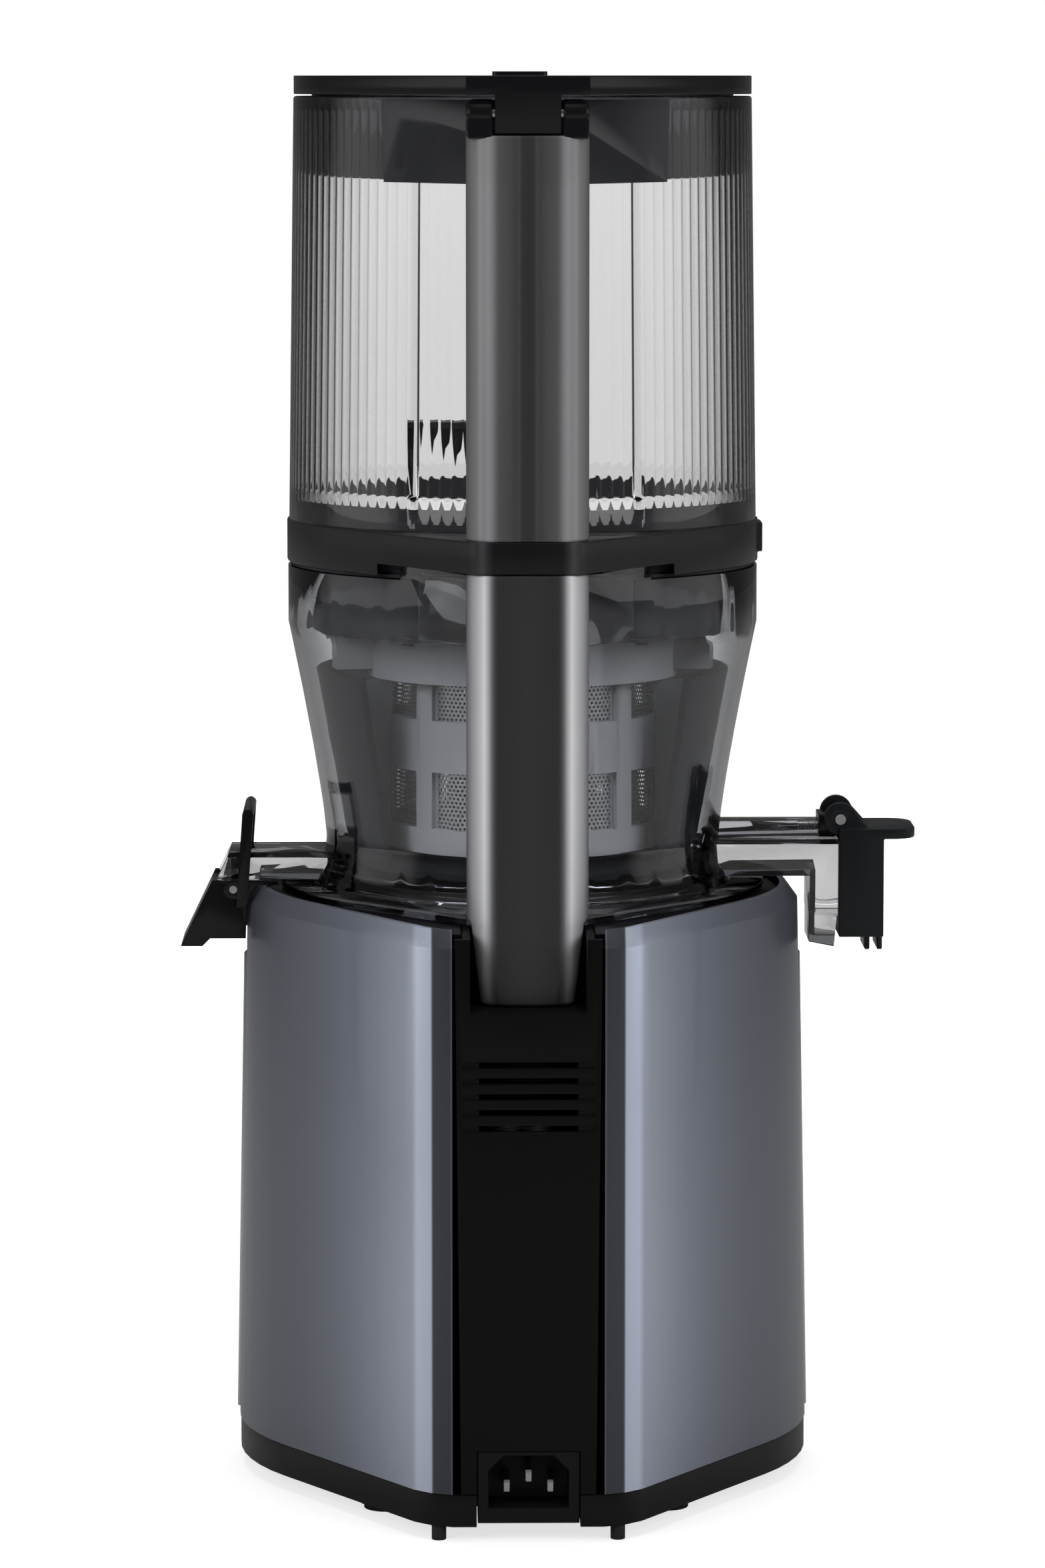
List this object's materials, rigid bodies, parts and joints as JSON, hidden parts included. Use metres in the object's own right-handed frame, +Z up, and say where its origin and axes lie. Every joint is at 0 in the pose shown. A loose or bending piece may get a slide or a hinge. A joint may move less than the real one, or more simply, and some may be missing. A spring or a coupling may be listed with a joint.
{
  "type": "cold press juicer",
  "caption": "Upright cold press juicer with a clear lidded feed hopper, a juicing chamber with juice and pulp spouts, stacked rear handles and a tapered motor base with a rear spine.",
  "frame": {"origin": "middle of the footprint on the worktop", "axes": "+Z up along the drive axis, -Y towards the handles and the power inlet, +X towards the juice spout"},
  "size_m": [0.246, 0.244, 0.4677],
  "materials": {
    "black_plastic": "fine matt texture",
    "gloss_black": "polished",
    "grey_paint": "satin metallic",
    "silver_cover": "brushed",
    "dark_rubber": "matt",
    "grey_silicone": "matt",
    "steel": "turned",
    "copper_windings": "lacquered wire",
    "gear_plastic": "moulded",
    "board_green": "lacquered",
    "clear_plastic": "clear, slightly smoked",
    "smoked_plastic": "dark translucent",
    "dark_moulding": "moulded"
  },
  "bodies": {
    "base": {"base_tray": "black_plastic", "rubber_feet": "dark_rubber", "rear_nubs": "dark_rubber", "tray_screws": "steel", "inner_housing": "black_plastic", "left_panel": "grey_paint", "right_panel": "grey_paint", "front_cover": "silver_cover", "front_crown": "grey_paint", "spine_cover": "black_plastic", "top_deck": "black_plastic", "power_inlet": "black_plastic", "inlet_pins": "steel", "motor_casing": "steel", "motor_stator": "copper_windings", "gearbox_case": "black_plastic", "gearbox_cover": "black_plastic", "idler_axle": "steel", "shaft_bearings": "steel", "shaft_seal": "dark_rubber", "control_board": "board_green", "rotary_switch": "black_plastic", "dial_ring": "silver_cover"},
    "knob": {"control_knob": "black_plastic"},
    "rotor": {"motor_rotor": "steel", "motor_shaft": "steel", "cooling_fan": "black_plastic"},
    "idler": {"idler_gear": "gear_plastic"},
    "drive": {"output_gear": "gear_plastic", "drive_shaft": "steel"},
    "chamber": {"juice_chamber": "clear_plastic", "juice_spout": "clear_plastic", "pulp_spout": "clear_plastic", "lower_handle": "clear_plastic", "chamber_seal": "grey_silicone", "pulp_chute": "gloss_black", "cap_bracket": "gloss_black", "cap_hinge_pin": "steel", "bracket_screw": "steel", "strainer_frame": "dark_moulding", "strainer_mesh": "steel"},
    "lever": {"pulp_lever": "gloss_black", "pulp_gate": "gloss_black", "lever_shaft": "steel"},
    "cap": {"juice_cap": "gloss_black", "cap_seal": "grey_silicone"},
    "brush": {"brush_frame": "dark_moulding", "brush_wipers": "grey_silicone"},
    "brush_wheel": {"brush_pinion": "gear_plastic"},
    "screw": {"auger": "dark_moulding", "auger_bushing": "steel"},
    "hopper": {"hopper_wall_shell": "clear_plastic", "hopper_floor": "smoked_plastic", "hopper_collar": "gloss_black", "upper_handle": "clear_plastic", "hinge_bridge": "smoked_plastic", "lid_hinge_pin": "steel"},
    "lid": {"lid_cover": "gloss_black", "lid_skirt": "smoked_plastic"},
    "button": {"lid_button": "gloss_black"}
  },
  "joints": [
    {"name": "knob_turn", "type": "hinge", "parent": "base", "child": "knob", "pos_m": [-0.00849, 0.122, 0.106], "axis": [0, 1, 0], "range_deg": [-45, 45]},
    {"name": "rotor_spin", "type": "hinge", "parent": "base", "child": "rotor", "pos_m": [-0.00849, 0.004, 0.08], "axis": [0, 0, 1], "continuous": true},
    {"name": "idler_spin", "type": "hinge", "parent": "base", "child": "idler", "pos_m": [-0.00849, -0.04287, 0.15], "axis": [0, 0, 1], "continuous": true},
    {"name": "drive_spin", "type": "hinge", "parent": "base", "child": "drive", "pos_m": [-0.00849, 0.004, 0.19], "axis": [0, 0, 1], "continuous": true},
    {"name": "chamber_lift", "type": "slide", "parent": "base", "child": "chamber", "axis": [0, 0, 1], "range_m": [0, 0.06]},
    {"name": "auger_spin", "type": "hinge", "parent": "chamber", "child": "screw", "pos_m": [-0.00849, 0.004, 0.25], "axis": [0, 0, 1], "continuous": true},
    {"name": "brush_wheel_spin", "type": "hinge", "parent": "chamber", "child": "brush_wheel", "pos_m": [-0.00849, 0.028, 0.205], "axis": [0, 0, 1], "continuous": true},
    {"name": "brush_spin", "type": "hinge", "parent": "chamber", "child": "brush", "pos_m": [-0.00849, 0.004, 0.205], "axis": [0, 0, 1], "continuous": true},
    {"name": "cap_swing", "type": "hinge", "parent": "chamber", "child": "cap", "pos_m": [0.09781, 0.004, 0.219], "axis": [0, -1, 0], "range_deg": [0, 95]},
    {"name": "lever_swing", "type": "hinge", "parent": "chamber", "child": "lever", "pos_m": [-0.10529, 0.004, 0.1967], "axis": [0, -1, 0], "range_deg": [0, 60]},
    {"name": "hopper_lift", "type": "slide", "parent": "chamber", "child": "hopper", "axis": [0, 0, 1], "range_m": [0, 0.08]},
    {"name": "lid_swing", "type": "hinge", "parent": "hopper", "child": "lid", "pos_m": [-0.00849, -0.10451, 0.4546], "axis": [1, 0, 0], "range_deg": [0, 100]},
    {"name": "button_press", "type": "slide", "parent": "lid", "child": "button", "axis": [0, 0, -1], "range_m": [0, 0.001], "stiffness_N_per_m": 300, "springref_m": -0.001}
  ],
  "couplings": [
    {"joint": "drive_spin", "follows": "auger_spin", "ratio": 1},
    {"joint": "idler_spin", "follows": "auger_spin", "ratio": -4},
    {"joint": "rotor_spin", "follows": "auger_spin", "ratio": 16},
    {"joint": "brush_wheel_spin", "follows": "auger_spin", "ratio": -1.1818},
    {"joint": "brush_spin", "follows": "auger_spin", "ratio": -0.37143}
  ]
}
